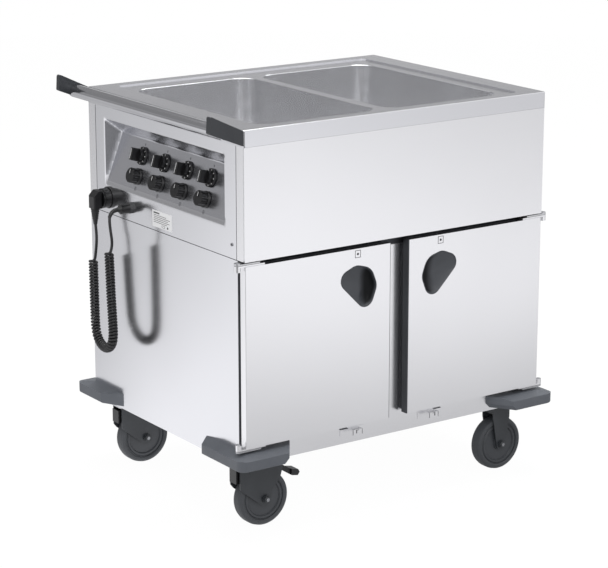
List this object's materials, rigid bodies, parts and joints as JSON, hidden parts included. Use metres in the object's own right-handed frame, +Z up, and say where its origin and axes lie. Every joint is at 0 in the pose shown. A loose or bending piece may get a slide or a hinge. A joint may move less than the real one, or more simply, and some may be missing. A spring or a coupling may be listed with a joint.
{
  "type": "mobile steam table unit",
  "caption": "Mobile steel steam table with heated wells above heated cupboards, recessed side controls, push bar, corner bumpers and a curly lead.",
  "frame": {"origin": "on the floor, under the middle of the outer box measured without the lead", "axes": "+Z up; +X along the doors to the right, the control end at -X; the doors face -Y"},
  "size_m": [0.9158, 0.71, 0.9248],
  "materials": {
    "skin_steel": "fine horizontal brushed grain, satin sheen",
    "inner_steel": "soft satin",
    "zinc_hardware": "bright zinc plating",
    "slate_plastic": "satin moulded plastic, fine grain",
    "black_plastic": "satin moulded",
    "seal_rubber": "matte",
    "lead_rubber": "satin rubber sheath",
    "insulation_wool": "matte wool",
    "heater_metal": "dull",
    "plate_white": "satin print",
    "wheel_grey": "satin moulded",
    "tyre_grey": "matte rubber"
  },
  "bodies": {
    "cabinet": {"top_deck": "skin_steel", "basin_left": "inner_steel", "basin_right": "inner_steel", "cupboard_liner_left": "inner_steel", "cupboard_liner_right": "inner_steel", "drain_pipes": "inner_steel", "upper_front_panel": "skin_steel", "upper_right_panel": "skin_steel", "control_panel": "skin_steel", "rear_panel": "skin_steel", "side_panel_left": "skin_steel", "side_panel_right": "skin_steel", "base_frame": "skin_steel", "door_frame": "skin_steel", "insulation": "insulation_wool", "heating_elements": "heater_metal", "control_switches": "black_plastic", "rating_plate": "plate_white", "panel_screws": "zinc_hardware", "push_bar": "skin_steel", "push_bar_brackets": "slate_plastic", "corner_bumpers": "slate_plastic", "hinge_brackets": "zinc_hardware", "door_catches": "zinc_hardware", "castor_plates": "zinc_hardware", "fixed_castor_forks": "wheel_grey", "lead_gland": "black_plastic", "plug_holder": "black_plastic", "lead_plug": "lead_rubber", "lead_gland_side": "lead_rubber", "lead_coil": "lead_rubber", "lead_plug_side": "lead_rubber"},
    "door_left": {"door_left_shell": "skin_steel", "door_left_grip": "slate_plastic", "door_left_seal": "seal_rubber", "door_left_hinge_leaves": "zinc_hardware"},
    "door_right": {"door_right_shell": "skin_steel", "door_right_grip": "slate_plastic", "door_right_seal": "seal_rubber", "door_right_hinge_leaves": "zinc_hardware"},
    "thermostat_knob_1": {"thermostat_knob_1": "black_plastic"},
    "thermostat_knob_2": {"thermostat_knob_2": "black_plastic"},
    "thermostat_knob_3": {"thermostat_knob_3": "black_plastic"},
    "thermostat_knob_4": {"thermostat_knob_4": "black_plastic"},
    "switch_knob_1": {"switch_knob_1": "black_plastic"},
    "switch_knob_2": {"switch_knob_2": "black_plastic"},
    "switch_knob_3": {"switch_knob_3": "black_plastic"},
    "switch_knob_4": {"switch_knob_4": "black_plastic"},
    "swivel_fork_front": {"swivel_fork_front": "wheel_grey"},
    "brake_pedal_front": {"brake_pedal_front": "black_plastic"},
    "swivel_fork_rear": {"swivel_fork_rear": "wheel_grey"},
    "brake_pedal_rear": {"brake_pedal_rear": "black_plastic"},
    "wheel_left_front": {"wheel_left_front": "wheel_grey", "tyre_left_front": "tyre_grey"},
    "wheel_left_rear": {"wheel_left_rear": "wheel_grey", "tyre_left_rear": "tyre_grey"},
    "wheel_right_front": {"wheel_right_front": "wheel_grey", "tyre_right_front": "tyre_grey"},
    "wheel_right_rear": {"wheel_right_rear": "wheel_grey", "tyre_right_rear": "tyre_grey"}
  },
  "joints": [
    {"name": "door_left_hinge", "type": "hinge", "parent": "cabinet", "child": "door_left", "pos_m": [-0.388, -0.317, 0.4], "axis": [0, 0, 1], "range_deg": [-270, 0]},
    {"name": "door_right_hinge", "type": "hinge", "parent": "cabinet", "child": "door_right", "pos_m": [0.44, -0.317, 0.4], "axis": [0, 0, 1], "range_deg": [0, 270]},
    {"name": "thermostat_knob_1_turn", "type": "hinge", "parent": "cabinet", "child": "thermostat_knob_1", "pos_m": [-0.35125, -0.163, 0.7595], "axis": [-0.9578, 0, 0.2873], "range_deg": [0, 270]},
    {"name": "thermostat_knob_2_turn", "type": "hinge", "parent": "cabinet", "child": "thermostat_knob_2", "pos_m": [-0.35125, -0.069, 0.7595], "axis": [-0.9578, 0, 0.2873], "range_deg": [0, 270]},
    {"name": "thermostat_knob_3_turn", "type": "hinge", "parent": "cabinet", "child": "thermostat_knob_3", "pos_m": [-0.35125, 0.025, 0.7595], "axis": [-0.9578, 0, 0.2873], "range_deg": [0, 270]},
    {"name": "thermostat_knob_4_turn", "type": "hinge", "parent": "cabinet", "child": "thermostat_knob_4", "pos_m": [-0.35125, 0.119, 0.7595], "axis": [-0.9578, 0, 0.2873], "range_deg": [0, 270]},
    {"name": "switch_knob_1_turn", "type": "hinge", "parent": "cabinet", "child": "switch_knob_1", "pos_m": [-0.36475, -0.163, 0.7145], "axis": [-0.9578, 0, 0.2873], "range_deg": [0, 90]},
    {"name": "switch_knob_2_turn", "type": "hinge", "parent": "cabinet", "child": "switch_knob_2", "pos_m": [-0.36475, -0.069, 0.7145], "axis": [-0.9578, 0, 0.2873], "range_deg": [0, 90]},
    {"name": "switch_knob_3_turn", "type": "hinge", "parent": "cabinet", "child": "switch_knob_3", "pos_m": [-0.36475, 0.025, 0.7145], "axis": [-0.9578, 0, 0.2873], "range_deg": [0, 90]},
    {"name": "switch_knob_4_turn", "type": "hinge", "parent": "cabinet", "child": "switch_knob_4", "pos_m": [-0.36475, 0.119, 0.7145], "axis": [-0.9578, 0, 0.2873], "range_deg": [0, 90]},
    {"name": "castor_swivel_front", "type": "hinge", "parent": "cabinet", "child": "swivel_fork_front", "pos_m": [-0.332, -0.257, 0.149], "axis": [0, 0, 1], "continuous": true},
    {"name": "wheel_spin_left_front", "type": "hinge", "parent": "swivel_fork_front", "child": "wheel_left_front", "pos_m": [-0.294, -0.257, 0.0625], "axis": [0, 1, 0], "continuous": true},
    {"name": "brake_press_front", "type": "hinge", "parent": "swivel_fork_front", "child": "brake_pedal_front", "pos_m": [-0.332, -0.257, 0.131], "axis": [0, 1, 0], "range_deg": [0, 4]},
    {"name": "castor_swivel_rear", "type": "hinge", "parent": "cabinet", "child": "swivel_fork_rear", "pos_m": [-0.332, 0.245, 0.149], "axis": [0, 0, 1], "continuous": true},
    {"name": "wheel_spin_left_rear", "type": "hinge", "parent": "swivel_fork_rear", "child": "wheel_left_rear", "pos_m": [-0.294, 0.245, 0.0625], "axis": [0, 1, 0], "continuous": true},
    {"name": "brake_press_rear", "type": "hinge", "parent": "swivel_fork_rear", "child": "brake_pedal_rear", "pos_m": [-0.332, 0.245, 0.131], "axis": [0, 1, 0], "range_deg": [0, 4]},
    {"name": "wheel_spin_right_front", "type": "hinge", "parent": "cabinet", "child": "wheel_right_front", "pos_m": [0.358, -0.267, 0.0625], "axis": [0, 1, 0], "continuous": true},
    {"name": "wheel_spin_right_rear", "type": "hinge", "parent": "cabinet", "child": "wheel_right_rear", "pos_m": [0.358, 0.255, 0.0625], "axis": [0, 1, 0], "continuous": true}
  ]
}
